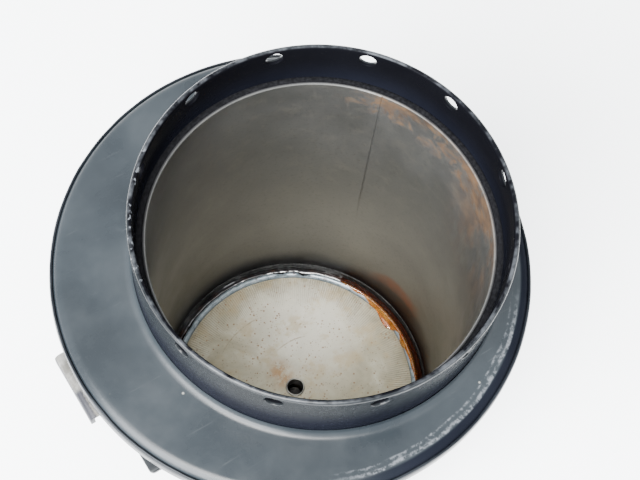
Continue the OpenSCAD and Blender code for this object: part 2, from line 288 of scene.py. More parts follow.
class Shade:
    """A Principled material, with short helpers for its node tree."""

    def __init__(self, name, **inputs):
        self.mat = bpy.data.materials.new(name)
        self.mat.use_nodes = True
        self.tree = self.mat.node_tree
        self.tree.nodes.clear()
        self.out = self.tree.nodes.new("ShaderNodeOutputMaterial")
        self.bsdf = self.tree.nodes.new("ShaderNodeBsdfPrincipled")
        self.tree.links.new(self.bsdf.outputs["BSDF"], self.out.inputs["Surface"])
        for key, value in inputs.items():
            self.bsdf.inputs[key.replace("_", " ")].default_value = value
        self.coords = self.tree.nodes.new("ShaderNodeTexCoord").outputs["Object"]
        self.parts = {}

    def put(self, kind, **settings):
        node = self.tree.nodes.new(kind)
        for key, value in settings.items():
            setattr(node, key, value)
        return node

    def feed(self, socket, value):
        if isinstance(value, bpy.types.NodeSocket):
            self.tree.links.new(value, socket)
        elif isinstance(value, tuple) and len(value) == 3 and socket.type == "RGBA":
            socket.default_value = (*value, 1)
        else:
            socket.default_value = value

    def calc(self, operation, a, b=None, c=None, clamp=False):
        node = self.put("ShaderNodeMath", operation=operation, use_clamp=clamp)
        for socket, value in zip(node.inputs, (a, b, c)):
            if value is not None:
                self.feed(socket, value)
        return node.outputs[0]

    def axis(self, letter):
        if "xyz" not in self.parts:
            node = self.put("ShaderNodeSeparateXYZ")
            self.feed(node.inputs[0], self.coords)
            self.parts["xyz"] = node
        return self.parts["xyz"].outputs[letter]

    def polar(self, centre=(0.0, 0.0)):
        """(angle in degrees, radius in mm) about a vertical axis at centre, in mm."""
        key = ("polar", centre)
        if key not in self.parts:
            x = self.calc("SUBTRACT", self.axis("X"), centre[0] * MM)
            y = self.calc("SUBTRACT", self.axis("Y"), centre[1] * MM)
            angle = self.calc("MULTIPLY", self.calc("ARCTAN2", y, x), 180 / pi)
            square = self.calc("ADD", self.calc("MULTIPLY", x, x), self.calc("MULTIPLY", y, y))
            radius = self.calc("MULTIPLY", self.calc("SQRT", square), 1 / MM)
            self.parts[key] = angle, radius
        return self.parts[key]

    def height(self):
        if "z" not in self.parts:
            self.parts["z"] = self.calc("MULTIPLY", self.axis("Z"), 1 / MM)
        return self.parts["z"]

    def noise(self, size_mm, detail=3.0, rough=0.5, stretch=None, warp=0.0):
        """Noise with features about size_mm across, from 0 to 1."""
        node = self.put("ShaderNodeTexNoise")
        vector = self.coords
        if stretch:
            mapping = self.put("ShaderNodeMapping")
            self.feed(mapping.inputs["Vector"], vector)
            mapping.inputs["Scale"].default_value = stretch
            vector = mapping.outputs[0]
        self.feed(node.inputs["Vector"], vector)
        node.inputs["Scale"].default_value = 1 / (size_mm * MM)
        node.inputs["Detail"].default_value = detail
        node.inputs["Roughness"].default_value = rough
        node.inputs["Distortion"].default_value = warp
        return node.outputs["Fac"]

    def cells(self, size_mm):
        """Distance to the nearest of points scattered about size_mm apart, in cells."""
        node = self.put("ShaderNodeTexVoronoi")
        self.feed(node.inputs["Vector"], self.coords)
        node.inputs["Scale"].default_value = 1 / (size_mm * MM)
        return node.outputs["Distance"]

    def span(self, value, low, high, to_low=0.0, to_high=1.0):
        """Maps low..high to to_low..to_high, clamped."""
        node = self.put("ShaderNodeMapRange", interpolation_type="SMOOTHSTEP")
        self.feed(node.inputs["Value"], value)
        for key, number in (("From Min", low), ("From Max", high), ("To Min", to_low), ("To Max", to_high)):
            node.inputs[key].default_value = number
        return node.outputs["Result"]

    def window(self, value, low, high, soft):
        """1 between low and high, with soft edges."""
        rise = self.span(value, low - soft, low + soft)
        fall = self.span(value, high - soft, high + soft, 1.0, 0.0)
        return self.calc("MULTIPLY", rise, fall)

    def near_angle(self, centre, half, soft, about=(0.0, 0.0)):
        """1 within half degrees of the centre angle."""
        angle = self.polar(about)[0]
        off = self.calc("ABSOLUTE", self.calc("WRAP", self.calc("SUBTRACT", angle, centre), 180.0, -180.0))
        return self.span(off, half - soft, half + soft, 1.0, 0.0)

    def spot(self, x, y, radius, soft, squash=1.0):
        """1 inside a round patch at x, y mm."""
        dx = self.calc("SUBTRACT", self.axis("X"), x * MM)
        dy = self.calc("MULTIPLY", self.calc("SUBTRACT", self.axis("Y"), y * MM), squash)
        square = self.calc("ADD", self.calc("MULTIPLY", dx, dx), self.calc("MULTIPLY", dy, dy))
        away = self.calc("MULTIPLY", self.calc("SQRT", square), 1 / MM)
        return away, self.span(away, radius - soft, radius + soft, 1.0, 0.0)

    def times(self, *values):
        out = values[0]
        for value in values[1:]:
            out = self.calc("MULTIPLY", out, value)
        return out

    def plus(self, *values):
        out = values[0]
        for value in values[1:]:
            out = self.calc("ADD", out, value, clamp=True)
        return out

    def ramp(self, value, *colours):
        """A dark, a middle and a pale colour by clouds."""
        node = self.put("ShaderNodeValToRGB")
        self.feed(node.inputs["Fac"], value)
        elements = node.color_ramp.elements
        elements.new(0.5)
        for element, position, colour in zip(elements, (0.3, 0.5, 0.72), colours):
            element.position = position
            element.color = (*colour, 1)
        return node.outputs["Color"]

    def mix(self, fac, a, b):
        node = self.put("ShaderNodeMix", data_type="RGBA")
        self.feed(node.inputs["Factor"], fac)
        self.feed(node.inputs[6], a)
        self.feed(node.inputs[7], b)
        return node.outputs[2]

    def blend(self, fac, a, b):
        node = self.put("ShaderNodeMix", data_type="FLOAT")
        self.feed(node.inputs["Factor"], fac)
        self.feed(node.inputs[2], a)
        self.feed(node.inputs[3], b)
        return node.outputs[0]

    def bump(self, height, depth_mm, strength=1.0, before=None):
        node = self.put("ShaderNodeBump")
        self.feed(node.inputs["Height"], height)
        node.inputs["Strength"].default_value = strength
        node.inputs["Distance"].default_value = depth_mm * MM
        if before:
            self.feed(node.inputs["Normal"], before)
        return node.outputs["Normal"]

    def done(self, colour, rough, metal, normal=None):
        values = {"Base Color": colour, "Roughness": rough, "Metallic": metal, "Normal": normal}
        for key, value in values.items():
            if value is not None:
                self.feed(self.bsdf.inputs[key], value)
        return self.mat


# ---------------------------------------------------------------- materials


def paint(name, dark, light, rough=0.38, wear=None, specks=0.0, inside=None, shine=1.0, dull=None):
    """Satin black paint: clouded, faintly pitted, with pale specks and, where wear says so, bare metal.
    Within the inside radius, on the inner face of a neck, it gets painted shade: near-black and matt; so it
    does in the region that the last argument picks out."""
    s = Shade(name)
    clouds = s.noise(20, 4, 0.55, warp=0.2)
    smudge = s.noise(42, 3, 0.5)
    fine = s.noise(2.2, 4, 0.6)
    colour = s.mix(s.span(clouds, 0.2, 0.85), dark, light)
    colour = s.mix(s.span(fine, 0.6, 0.78, 0.0, 0.3), colour, light)
    colour = s.mix(s.span(smudge, 0.42, 0.62, 0.25, 0.0), colour, tuple(0.5 * c for c in dark))
    gloss = s.span(clouds, 0.3, 0.7, 0.27 * shine, 0.30 * shine)
    depth = s.span(clouds, 0.3, 0.7, 1.43, 1.45)
    rough_value = s.plus(s.span(clouds, 0.3, 0.7, rough - 0.06, rough + 0.07),
                         s.span(fine, 0.4, 0.8, 0.0, 0.06))
    scratch = s.noise(1.6, 2, 0.5, stretch=(0.12, 3, 1), warp=0.1)
    marks = s.times(s.span(scratch, 0.70, 0.76), s.span(smudge, 0.45, 0.6), 0.22)
    colour = s.mix(marks, colour, (0.05, 0.054, 0.058))
    if specks:
        dots = s.span(s.cells(7.5), 0.02, 0.055, 1.0, 0.0)
        dots = s.times(dots, s.span(s.noise(31, 1), 0.44, 0.52), specks)
        colour = s.mix(dots, colour, (0.17, 0.17, 0.155))
    # painted shade: near-black, matt paint within the inside radius, on the neck's inner face
    if inside:
        _, radius = s.polar()
        inner_shade = s.span(radius, inside, inside + 0.2, 1.0, 0.0)
        colour = s.mix(inner_shade, colour, s.mix(clouds, (0.0012, 0.0012, 0.0016), (0.0028, 0.0029, 0.004)))
        gloss = s.blend(inner_shade, gloss, 0.08)
        depth = s.blend(inner_shade, depth, 1.14)
    # painted shade: near-black, matt paint in the region given by the last argument
    if dull:
        shade_zone = dull(s)
        colour = s.mix(shade_zone, colour, s.mix(clouds, (0.0015, 0.0017, 0.003), (0.005, 0.0056, 0.009)))
        gloss = s.blend(shade_zone, gloss, 0.04)
        depth = s.blend(shade_zone, depth, 1.10)
    metal = 0.0
    if wear:
        worn = wear(s)
        colour = s.mix(worn, colour, s.mix(fine, (0.06, 0.066, 0.074), (0.155, 0.165, 0.18)))
        rough_value = s.blend(worn, rough_value, 0.34)
        metal = s.times(worn, 0.6)
    s.feed(s.bsdf.inputs["Specular IOR Level"], gloss)
    s.feed(s.bsdf.inputs["IOR"], depth)
    normal = s.bump(s.noise(1.6, 3, 0.5), 0.008, 0.15)
    normal = s.bump(s.noise(6, 3, 0.5), 0.14, 0.3, normal)
    return s.done(colour, rough_value, metal, normal)


def skirt_shade(s):
    """Painted shade on the rolled edge on the -Y side: dark, matt paint standing in for its dark reflection.
    """
    about = (HEM_X, HEM_Y)
    _, radius = s.polar(about)
    return s.times(s.near_angle(-60, 46, 14, about), s.span(radius, ROLL_X + 0.1, ROLL_X + 0.9), 0.9)


def neck_foot_shade(s):
    """Painted shade low on the neck: dark, matt paint standing in for its dark reflection of the shoulder."""
    return s.times(s.span(s.height(), SHOULDER_Z + 6, SHOULDER_Z + 18, 1.0, 0.0), 0.92)


def ridge_wear(s):
    """Bare scuffed metal in two lines along the shoulder's edge on its -Y side."""
    about = (HEM_X, HEM_Y)
    _, radius = s.polar(about)
    where = s.near_angle(-76, 31, 9, about)
    ragged = s.noise(1.3, 4, 0.7)
    wander = s.span(s.noise(10, 2), 0.3, 0.7, -0.3, 0.3)
    off = s.calc("ADD", s.calc("SUBTRACT", radius, ROLL_X), wander)
    outer = s.times(s.window(off, -0.55, 0.2, 0.25), s.span(ragged, 0.40, 0.60), 0.85)
    inner = s.times(s.window(off, -1.75, -1.4, 0.2), s.span(ragged, 0.44, 0.60), 0.55)
    between = s.times(s.window(off, -1.5, -0.5, 0.3), s.span(ragged, 0.54, 0.68), 0.4)
    return s.times(where, s.plus(outer, inner, between))


def lip_wear(s):
    """The neck's lip, rubbed pale, with a few chips."""
    top = s.span(s.height(), LIP_Z - 0.4, LIP_Z - 0.05)
    rub = s.times(top, s.span(s.noise(3.5, 4, 0.6), 0.40, 0.70, 0.0, 0.3))
    near = s.span(s.height(), LIP_Z - 1.3, LIP_Z - 0.8)
    chips = s.times(near, s.near_angle(150, 24, 6), s.span(s.noise(1.1, 3), 0.6, 0.66), 0.7)
    return s.plus(rub, chips)


def sleeve_steel():
    """Dull bare steel with a vertical grain, a rusty top right edge and a dark foot."""
    s = Shade("sleeve_steel", Specular_IOR_Level=0.5)
    _, radius = s.polar()
    z = s.height()
    grain_lines = s.noise(0.5, 4, 0.6, stretch=(1, 1, 0.05))
    clouds = s.noise(24, 4, 0.55, warp=0.4)
    mist = s.noise(4, 5, 0.65)
    weave = s.noise(0.9, 3, 0.6)
    colour = s.ramp(clouds, (0.033, 0.034, 0.033), (0.046, 0.046, 0.045), (0.064, 0.064, 0.061))
    lower = s.span(z, 50, 122, 1.0, 0.0)
    colour = s.mix(s.times(lower, 0.5), colour, (0.112, 0.106, 0.091))
    colour = s.mix(s.span(mist, 0.45, 0.75, 0.0, 0.4), colour, (0.083, 0.078, 0.066))
    colour = s.mix(s.span(weave, 0.5, 0.75, 0.0, 0.4), colour, (0.023, 0.023, 0.021))
    # rust that hangs from the top edge and runs down the +X side
    patchy = s.noise(4.2, 5, 0.68, warp=0.8)
    edge = s.span(s.calc("ADD", z, s.span(patchy, 0.3, 0.7, -6, 6)), sleeve_high.z - 11, sleeve_high.z - 2)
    hang = s.times(edge, s.near_angle(4, 44, 10), s.span(patchy, 0.36, 0.60), 0.9)
    drip = s.span(s.noise(7, 4, 0.6, stretch=(1, 1, 0.3)), 0.36, 0.56)
    run = s.times(s.near_angle(-24, 20, 12), s.span(z, 86, 128), drip, 0.75)
    rust = s.plus(hang, run)
    brown = s.mix(s.span(mist, 0.3, 0.7), (0.014, 0.0065, 0.0025), (0.052, 0.0255, 0.0085))
    colour = s.mix(rust, colour, brown)
    # dark foot of the wall, taller on the +X side, with an orange stain at its top
    side = s.near_angle(-4, 24, 16)
    uneven = s.span(s.noise(9, 3), 0.2, 0.8, sleeve_low.z + 6, sleeve_low.z + 9)
    foot_top = s.calc("ADD", uneven, s.times(side, 7.5))
    over = s.calc("SUBTRACT", z, foot_top)
    stain = s.times(s.near_angle(8, 11, 8), s.window(over, -2.5, 3.5, 2.0), s.span(mist, 0.3, 0.6, 0.55, 1.0))
    colour = s.mix(s.span(over, -5, 4.5, 0.97, 0.0), colour, (0.006, 0.005, 0.006))
    colour = s.mix(stain, colour, (0.11, 0.024, 0.004))
    # specks
    dots = s.times(s.span(s.cells(2.6), 0.05, 0.12, 1.0, 0.0), s.span(s.noise(12, 2), 0.50, 0.60))
    colour = s.mix(s.times(dots, 0.6), colour, (0.035, 0.022, 0.012))
    # painted shade on the cut edge's top face, with a painted highlight along its inner corner
    cut = s.times(s.span(radius, SLEEVE_R + 0.25, SLEEVE_R + 0.4),
                  s.span(z, sleeve_high.z - 0.4, sleeve_high.z - 0.25))
    colour = s.mix(cut, colour, (0.004, 0.004, 0.005))
    corner = s.times(s.calc("SUBTRACT", 1.0, cut), s.span(z, sleeve_high.z - 0.45, sleeve_high.z - 0.2))
    colour = s.mix(s.times(corner, s.span(mist, 0.3, 0.6, 0.2, 0.6)), colour, (0.058, 0.057, 0.055))
    rough = s.plus(s.span(clouds, 0.3, 0.7, 0.38, 0.48), s.times(rust, 0.25), s.times(cut, 0.4))
    metallic = s.times(0.62, s.calc("SUBTRACT", 1.0, s.plus(rust, cut, corner)))
    normal = s.bump(grain_lines, 0.015, 0.3)
    normal = s.bump(weave, 0.02, 0.35, normal)
    normal = s.bump(s.noise(18, 2, 0.5), 0.35, 0.25, normal)
    return s.done(colour, rough, metallic, normal)


def pan_finish():
    """Cream tinned steel, speckled with rust, with gathered folds marked by painted shade, a painted pool of
    light, one brown stain and curved scratches.
    """
    s = Shade("pan_tinplate", Specular_IOR_Level=0.5)
    angle, radius = s.polar()
    clouds = s.noise(13, 5, 0.6, warp=0.7)
    mist = s.noise(3.2, 5, 0.7)
    colour = s.ramp(clouds, (0.205, 0.183, 0.118), (0.305, 0.278, 0.195), (0.44, 0.415, 0.325))
    # painted light: a pale pool on the pan's +X+Y side
    _, bright = s.spot(14, 16, 15, 12)
    colour = s.mix(s.times(bright, 0.5), colour, (0.60, 0.59, 0.54))
    # folds: painted shade along them near the rim
    turn = s.calc("MULTIPLY", angle, pi / 180 * PAN_FOLDS)
    wave = s.span(s.calc("SINE", s.calc("ADD", turn, s.span(mist, 0.3, 0.7, -0.5, 0.5))), -0.2, 1.0)
    reach = s.span(s.calc("ADD", radius, s.span(s.noise(5, 2), 0.3, 0.7, -2, 2)), 27.5, 33.5)
    folds = s.times(wave, reach, s.span(s.noise(9, 2), 0.34, 0.52))
    colour = s.mix(s.times(folds, 0.55), colour, (0.13, 0.115, 0.08))
    rusty = (0.15, 0.062, 0.014)
    zones = s.span(s.noise(12, 3, 0.6), 0.38, 0.52)
    dots = s.times(s.span(s.cells(1.3), 0.16, 0.28, 1.0, 0.0), s.span(s.noise(2.8, 3), 0.40, 0.54), zones)
    colour = s.mix(s.times(dots, 0.85), colour, rusty)
    freckles = s.times(s.span(s.cells(0.8), 0.14, 0.28, 1.0, 0.0), s.span(s.noise(1.9, 2), 0.46, 0.58))
    colour = s.mix(s.times(freckles, 0.55), colour, (0.10, 0.07, 0.035))
    _, stain = s.spot(-1.6, 6.0, 3.4, 2.6, 0.8)
    colour = s.mix(s.times(stain, s.span(mist, 0.35, 0.6), 0.85), colour, (0.24, 0.115, 0.03))
    halo = s.times(s.span(s.noise(8, 4, 0.65), 0.5, 0.66), 0.55)
    colour = s.mix(halo, colour, (0.30, 0.23, 0.12))
    grime = s.times(s.span(radius, 33, 37.3), s.span(mist, 0.40, 0.62, 0.0, 0.55))
    colour = s.mix(grime, colour, (0.20, 0.16, 0.09))
    for x, y, r, start in ((0, 1, 25, 104), (6, -3, 17, 64)):
        away, _ = s.spot(x, y, r, 1)
        line = s.span(s.calc("ABSOLUTE", s.calc("SUBTRACT", away, r)), 0.08, 0.3, 1.0, 0.0)
        cut = s.times(line, s.near_angle(start, 16, 7), s.span(mist, 0.35, 0.6), 0.6)
        colour = s.mix(cut, colour, (0.16, 0.11, 0.05))
    normal = s.bump(mist, 0.03, 0.4)
    normal = s.bump(s.times(wave, reach), 0.05, 0.6, normal)
    normal = s.bump(s.noise(9, 3), 0.25, 0.35, normal)
    rough = s.span(clouds, 0.3, 0.7, 0.34, 0.5)
    return s.done(colour, rough, 0.25, normal)


def metal(name, low, high, rough, size=1.2, stretch=None, shade_above=None):
    """Worked metal with tool marks, mottling and some grime, and painted shade, near-black, above a height if
    one is given.
    """
    s = Shade(name)
    marks = s.noise(size, 4, 0.6, stretch=stretch)
    clouds = s.noise(size * 5, 4, 0.6)
    colour = s.mix(s.span(marks, 0.35, 0.7), low, high)
    colour = s.mix(s.span(clouds, 0.5, 0.75, 0.0, 0.35), colour, tuple(0.35 * c for c in low))
    # painted shade: near-black above the given height
    if shade_above:
        shade_colour = s.mix(marks, (0.004, 0.004, 0.004), (0.016, 0.015, 0.014))
        colour = s.mix(s.span(s.height(), shade_above - 1, shade_above), colour, shade_colour)
    rough_value = s.plus(s.span(clouds, 0.3, 0.7, rough - 0.06, rough + 0.1),
                         s.span(marks, 0.4, 0.8, 0.0, 0.08))
    normal = s.bump(marks, 0.02, 0.4)
    normal = s.bump(s.noise(size * 3, 2), 0.06, 0.3, normal)
    return s.done(colour, rough_value, 0.95, normal)


def edge_finish():
    """Pale blue-grey rolled edge of the pan, with rub lines round it."""
    s = Shade("pan_edge")
    _, radius = s.polar()
    wave = s.calc("SINE", s.calc("MULTIPLY", radius, 2 * pi / 0.62))
    mottle = s.noise(1.8, 4, 0.6)
    colour = s.mix(s.span(mottle, 0.35, 0.68), (0.19, 0.235, 0.265), (0.34, 0.39, 0.42))
    colour = s.mix(s.span(wave, 0.2, 1.0, 0.0, 0.55), colour, (0.085, 0.11, 0.13))
    colour = s.mix(s.span(s.noise(3, 3), 0.62, 0.7, 0.0, 0.7), colour, (0.08, 0.05, 0.05))
    normal = s.bump(wave, 0.03, 0.5)
    normal = s.bump(mottle, 0.04, 0.4, normal)
    return s.done(colour, s.span(mottle, 0.3, 0.7, 0.26, 0.42), 0.35, normal)


def sealant_finish():
    """Black wet compound, brown where it is thin."""
    s = Shade("sealant", Coat_Weight=1.0, Coat_Roughness=0.04, Specular_IOR_Level=0.6)
    lumps = s.noise(3.6, 4, 0.55)
    colour = s.mix(s.span(lumps, 0.48, 0.75), (0.006, 0.005, 0.006), (0.03, 0.014, 0.008))
    colour = s.mix(s.times(s.near_angle(5, 30, 15), 0.5), colour, (0.09, 0.022, 0.006))
    normal = s.bump(lumps, 0.4, 0.6)
    return s.done(colour, s.span(lumps, 0.3, 0.7, 0.08, 0.2), 0.0, normal)


def residue_finish():
    """Amber residue: clear, orange-brown, wet."""
    s = Shade("fuel_residue", Transmission_Weight=0.75, IOR=1.46, Coat_Weight=1.0, Coat_Roughness=0.03)
    lumps = s.noise(2.4, 3, 0.5)
    _, radius = s.polar()
    rim = s.span(radius, PAN_R - 1.6, PAN_R + 0.6)
    colour = s.mix(s.span(lumps, 0.35, 0.68), (0.70, 0.20, 0.025), (0.90, 0.42, 0.09))
    colour = s.mix(rim, colour, (0.10, 0.018, 0.004))
    normal = s.bump(lumps, 0.2, 0.4)
    return s.done(colour, s.span(lumps, 0.3, 0.7, 0.04, 0.1), 0.0, normal)


def packing_shade():
    """Black packing, made near-black and matt as painted shade for the gap between sleeve and neck."""
    s = Shade("spacer_shade_black", Specular_IOR_Level=0.05)
    fibre = s.noise(0.8, 4, 0.6)
    colour = s.mix(s.span(fibre, 0.35, 0.7), (0.0015, 0.0015, 0.002), (0.006, 0.006, 0.007))
    return s.done(colour, s.span(fibre, 0.3, 0.7, 0.85, 0.98), 0.0, s.bump(fibre, 0.05, 0.5))


def clip_finish():
    """Pale plated strip whose turned-down end and -Y corner carry painted shade: near-black and less
    metallic.
    """
    s = Shade("clip_steel", Specular_IOR_Level=0.25)
    mottle = s.noise(3, 4, 0.6)
    fine = s.noise(0.7, 3, 0.6)
    ragged = s.span(fine, 0.3, 0.7, -0.1, 0.1)
    colour = s.mix(s.span(mottle, 0.35, 0.68), (0.07, 0.067, 0.06), (0.14, 0.137, 0.13))
    # painted shade: near-black on the turned-down end and on the -Y corner
    low = s.span(s.calc("ADD", s.height(), ragged), clip_high.z - 1.2, clip_high.z - 0.7, 1.0, 0.0)
    inward = s.calc("ADD", s.calc("MULTIPLY", s.axis("X"), 1 / MM), ragged)
    sideways = s.calc("MULTIPLY", s.axis("Y"), 1 / MM)
    corner = s.times(s.span(inward, clip_low.x + 1.3, clip_low.x + 1.9, 1.0, 0.0),
                     s.span(sideways, clip_low.y + 7.0, clip_low.y + 8.5, 1.0, 0.0))
    painted = s.plus(low, corner)
    colour = s.mix(painted, colour, s.mix(mottle, (0.0025, 0.0025, 0.005), (0.006, 0.006, 0.010)))
    rough = s.span(mottle, 0.3, 0.7, 0.40, 0.5)
    return s.done(colour, rough, s.calc("SUBTRACT", 0.4, s.times(painted, 0.4)), s.bump(fine, 0.03, 0.4))


def fibre_finish():
    """Pressed red-brown fibre."""
    s = Shade("gasket", Specular_IOR_Level=0.25)
    fibre = s.noise(0.5, 5, 0.7, stretch=(1, 3, 6))
    colour = s.mix(s.span(fibre, 0.35, 0.7), (0.15, 0.045, 0.025), (0.30, 0.11, 0.06))
    return s.done(colour, s.span(fibre, 0.3, 0.7, 0.65, 0.85), 0.0, s.bump(fibre, 0.05, 0.6))


def floor_finish():
    """Pale matt paper."""
    s = Shade("studio_floor", Specular_IOR_Level=0.1)
    cloud = s.noise(400, 2)
    colour = s.mix(cloud, (0.86, 0.87, 0.88), (0.9, 0.905, 0.91))
    return s.done(colour, 0.9, 0.0)


NECK = paint("neck_black", (0.003, 0.0037, 0.0045), (0.009, 0.0102, 0.0115), 0.22, wear=lip_wear,
             inside=NECK_R - NECK_T / 2, shine=0.75, dull=neck_foot_shade)
SHOULDER = paint("shoulder_black", (0.0075, 0.0098, 0.012), (0.0145, 0.0180, 0.0210), 0.30, wear=ridge_wear,
                 specks=0.7, dull=skirt_shade)
HEM = paint("hem_black", (0.003, 0.0037, 0.005), (0.009, 0.0105, 0.013), 0.30, shine=0.5)
SHELL = paint("shell_black", (0.004, 0.005, 0.006), (0.012, 0.0135, 0.0155), 0.36, specks=0.5)
BRACKET = paint("bracket_black", (0.003, 0.0035, 0.0045), (0.009, 0.0105, 0.012), 0.34, specks=0.3, shine=0.5)
SPACER = packing_shade()
SLEEVE = sleeve_steel()
PAN = pan_finish()
EDGE = edge_finish()
SEAT = metal("seat_steel", (0.08, 0.082, 0.082), (0.16, 0.165, 0.165), 0.42)
SEALANT = sealant_finish()
RESIDUE = residue_finish()
EYELET = metal("eyelet_steel", (0.16, 0.155, 0.14), (0.30, 0.295, 0.27), 0.3)
TURNED = metal("turned_steel", (0.14, 0.138, 0.128), (0.26, 0.255, 0.24), 0.28, stretch=(1, 1, 9))
ZINC = metal("zinc_plate", (0.17, 0.178, 0.178), (0.30, 0.31, 0.31), 0.34, size=2)
# the screw's tip, seen down the drain hole, gets painted shade
BRASS = metal("screw_brass", (0.22, 0.155, 0.055), (0.36, 0.28, 0.12), 0.28, stretch=(1, 1, 9),
              shade_above=screw_high.z - 2.5)
COPPER = metal("washer_copper", (0.20, 0.08, 0.035), (0.35, 0.17, 0.09), 0.34)
BAR = metal("bar_steel", (0.22, 0.22, 0.215), (0.38, 0.38, 0.37), 0.2, stretch=(1, 0.2, 1))
CLIP = clip_finish()
GASKET = fibre_finish()


# ------------------------------------------------------------------- pieces


def neck_collar():
    """The neck: both faces of the sheet, its rolled lip and the ring of rounded holes."""
    columns = 360
    half_patch = 5
    lip = NECK_T / 2
    r_in = NECK_R - NECK_T
    z_lip = LIP_Z - lip
    hole_z = LIP_Z - HOLE_DROP
    patch_low = hole_z - 3.0
    patch_rows = 7
    low_rows = [neck_low.z, neck_low.z + 6.4, neck_low.z + 7.6, 139, 142, 145, 148]
    z_rows = low_rows + [patch_low + (z_lip - patch_low) * k / patch_rows for k in range(patch_rows + 1)]
    first = len(low_rows)
    last = first + patch_rows
    swage = 0.1
    bm = bmesh.new()

    def spot(angle, z, depth, inner):
        r = (r_in + depth) if inner else (NECK_R - depth)
        if not inner and z < low_rows[2]:
            r -= swage
        r += 0.05 * sin(radians(2 * angle + 40))
        r += 0.05 * grain(*turned(r, angle), z, 11)
        return vert(bm, *turned(r, angle), z)

    def angle_of(column):
        return HOLE_PHASE + (column - half_patch) * 360 / columns

    per_hole = columns // HOLE_COUNT
    hole_rings = {}
    grids = {}
    for inner in (False, True):
        grid = {}
        for j in range(columns):
            inside = 0 < j % per_hole < 2 * half_patch
            for k, z in enumerate(z_rows):
                if inside and first < k < last:
                    continue
                grid[j, k] = spot(angle_of(j), z, 0, inner)
        for j in range(columns):
            in_patch = j % per_hole < 2 * half_patch
            n = (j + 1) % columns
            for k in range(len(z_rows) - 1):
                if in_patch and first <= k < last:
                    continue
                bm.faces.new((grid[j, k], grid[n, k], grid[n, k + 1], grid[j, k + 1]))
        for hole in range(HOLE_COUNT):
            j0 = hole * per_hole
            rim = [(j0 + i, first) for i in range(2 * half_patch)]
            rim += [(j0 + 2 * half_patch, k) for k in range(first, last)]
            rim += [(j0 + 2 * half_patch - i, last) for i in range(2 * half_patch)]
            rim += [(j0, last - i) for i in range(patch_rows)]
            centre = angle_of(j0 + half_patch)
            previous = [grid[j % columns, k] for j, k in rim]
            for grow, depth in ((0.35, 0), (0.14, 0), (0.05, 0.05), (0, 0.15)):
                radius = HOLE_R + grow
                ring = []
                for j, k in rim:
                    ds = radians(angle_of(j) - centre) * NECK_R
                    dz = z_rows[k] - hole_z
                    far = hypot(ds, dz)
                    turn = degrees(ds / far * radius / NECK_R)
                    ring.append(spot(centre + turn, hole_z + dz / far * radius, depth, inner))
                for i in range(len(rim)):
                    m = (i + 1) % len(rim)
                    bm.faces.new((previous[i], previous[m], ring[m], ring[i]))
                previous = ring
            hole_rings[hole, inner] = previous
        grids[inner] = grid
    for hole in range(HOLE_COUNT):
        outer, inner = hole_rings[hole, False], hole_rings[hole, True]
        for i in range(len(outer)):
            m = (i + 1) % len(outer)
            bm.faces.new((outer[i], outer[m], inner[m], inner[i]))
    steps = 8
    for j in range(columns):
        grids[False][j, "lip", 0] = grids[False][j, last]
        grids[False][j, "lip", steps] = grids[True][j, last]
        for s in range(1, steps):
            t = pi * s / steps
            angle = angle_of(j)
            r = NECK_R - lip + lip * cos(t) + 0.05 * sin(radians(2 * angle + 40))
            z = z_lip + lip * sin(t) - 0.05 * (1 + grain(angle, 0, 0, 9))
            grids[False][j, "lip", s] = vert(bm, *turned(r, angle), z)
    for j in range(columns):
        n = (j + 1) % columns
        for s in range(steps):
            bm.faces.new((grids[False][j, "lip", s], grids[False][n, "lip", s],
                          grids[False][n, "lip", s + 1], grids[False][j, "lip", s + 1]))
        bm.faces.new((grids[False][j, 0], grids[True][j, 0], grids[True][n, 0], grids[False][n, 0]))
    piece("neck_collar_sheet", bm, NECK, "neck_collar")


def shoulder_plate():
    """The eccentric pressing: fillet round the neck, slightly uneven flat, rolled edge and skirt."""
    segs = 480
    bore = NECK_R + GAP
    fillet_steps = 8
    flat_steps = 12
    roll_steps = 12
    bm = bmesh.new()
    rings = []
    for s in range(segs):
        hem_a = radians(360 * s / segs)
        edge_x = HEM_X + ROLL_X * cos(hem_a)
        edge_y = HEM_Y + ROLL_X * sin(hem_a)
        a = atan2(edge_y, edge_x)
        reach = hypot(edge_x, edge_y)
        ring = []

        def add(x, y, z):
            ring.append(vert(bm, x, y, z))

        for r, z in arc(bore + FILLET_R, SHOULDER_Z + FILLET_R, FILLET_R, 180, 270, fillet_steps):
            add(r * cos(a), r * sin(a), z)
        toe = bore + FILLET_R
        for k in range(1, flat_steps):
            r = toe + (reach - toe) * k / flat_steps
            x, y = r * cos(a), r * sin(a)
            calm = sin(pi * k / flat_steps)
            add(x, y, SHOULDER_Z + calm * (0.10 * grain(x, y, 0, 16, 3) + 0.03 * grain(x, y, 0, 5, 7) - 0.05))
        for r, z in arc(ROLL_X, ROLL_Z, ROLL_R, 90, 0, roll_steps):
            add(HEM_X + r * cos(hem_a), HEM_Y + r * sin(hem_a), z)
        for r, z in ((ROLL_X + ROLL_R, plate_low.z), (ROLL_X + ROLL_R - SHEET_T, plate_low.z)):
            add(HEM_X + r * cos(hem_a), HEM_Y + r * sin(hem_a), z)
        for r, z in arc(ROLL_X, ROLL_Z, ROLL_R - SHEET_T, 0, 90, roll_steps):
            add(HEM_X + r * cos(hem_a), HEM_Y + r * sin(hem_a), z)
        add(bore * cos(a), bore * sin(a), SHOULDER_Z - SHEET_T)
        rings.append(ring)
    join_rings(bm, rings)
    piece("shoulder_pressing", bm, SHOULDER, "shoulder_plate", sharp=50)


